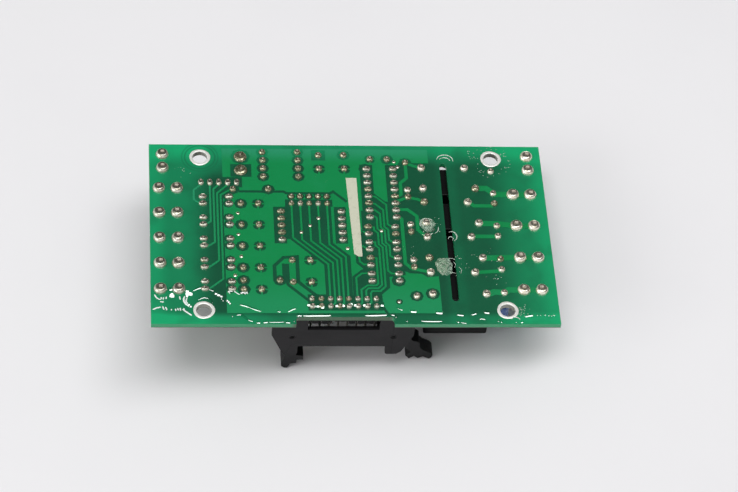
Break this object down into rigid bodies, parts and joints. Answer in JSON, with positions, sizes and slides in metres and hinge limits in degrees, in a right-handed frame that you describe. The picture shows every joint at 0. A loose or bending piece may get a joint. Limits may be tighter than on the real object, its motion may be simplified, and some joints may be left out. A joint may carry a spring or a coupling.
{
  "type": "relay control board",
  "caption": "Relay interface circuit board, solder side up, with copper artwork, hanging relays, quick-connect blades and a latched ribbon header.",
  "frame": {"origin": "centre of the four mounting holes, on the laminate's solder face", "axes": "+X along the board's length towards the relay outputs, +Y away from the header edge, +Z out of the solder side"},
  "size_m": [0.113, 0.0646, 0.0281],
  "materials": {
    "laminate": "glossy green solder mask over bare glass laminate under a clear coat",
    "masked_copper": "bright green solder mask over copper under a clear coat",
    "solder": "dulled tin-lead solder",
    "marking": "cream",
    "residue": "dried, uneven",
    "relay_case": "satin black",
    "varistor_coat": "dipped blue lacquer",
    "black_epoxy": "moulded black",
    "tinned_wire": "tinned",
    "tinned_brass": "tinned",
    "resistor_coat": "beige lacquer with colour bands",
    "can_sleeve": "dark blue sleeve on an aluminium can",
    "film_case": "red box",
    "ceramic_coat": "amber dip",
    "network_coat": "black dip",
    "black_plastic": "satin glass-filled black",
    "latch_plastic": "satin black"
  },
  "bodies": {
    "board": {"laminate": "laminate", "hole_rings": "solder", "copper_pour": "masked_copper", "signal_tracks": "masked_copper", "power_tracks": "masked_copper", "input_tab_solder": "solder", "output_tab_solder": "solder", "relay_solder": "solder", "varistor_solder": "solder", "diode_solder": "solder", "input_coupler_solder": "solder", "output_coupler_solder": "solder", "driver_solder": "solder", "network_solder": "solder", "jumper_solder": "solder", "header_solder": "solder", "capacitor_solder": "solder", "resistor_solder": "solder", "via_domes": "solder", "marking_strip": "marking", "glue_residue": "residue", "flux_residue": "residue", "relays": "relay_case", "varistors": "varistor_coat", "flyback_diodes": "black_epoxy", "flyback_wires": "tinned_wire", "rectifier_diodes": "black_epoxy", "rectifier_wires": "tinned_wire", "axial_resistors": "resistor_coat", "resistor_wires": "tinned_wire", "input_blades": "tinned_brass", "output_blades": "tinned_brass", "input_couplers": "black_epoxy", "output_couplers": "black_epoxy", "driver_chip": "black_epoxy", "coupler_leads": "tinned_wire", "driver_leads": "tinned_wire", "reservoir_capacitor": "can_sleeve", "smoothing_capacitor": "can_sleeve", "film_capacitor": "film_case", "ceramic_capacitors": "ceramic_coat", "resistor_networks": "network_coat", "jumper_block": "black_plastic", "jumper_pins": "tinned_wire", "header_housing": "black_plastic", "header_contacts": "tinned_wire"},
    "left_latch": {"latch_left": "latch_plastic"},
    "right_latch": {"latch_right": "latch_plastic"}
  },
  "joints": [
    {"name": "left_latch_swing", "type": "hinge", "parent": "board", "child": "left_latch", "pos_m": [-0.01735, -0.02491, -0.00955], "axis": [0, 1, 0], "range_deg": [0, 43]},
    {"name": "right_latch_swing", "type": "hinge", "parent": "board", "child": "right_latch", "pos_m": [0.01085, -0.02491, -0.00955], "axis": [0, 1, 0], "range_deg": [-3, 40]}
  ]
}
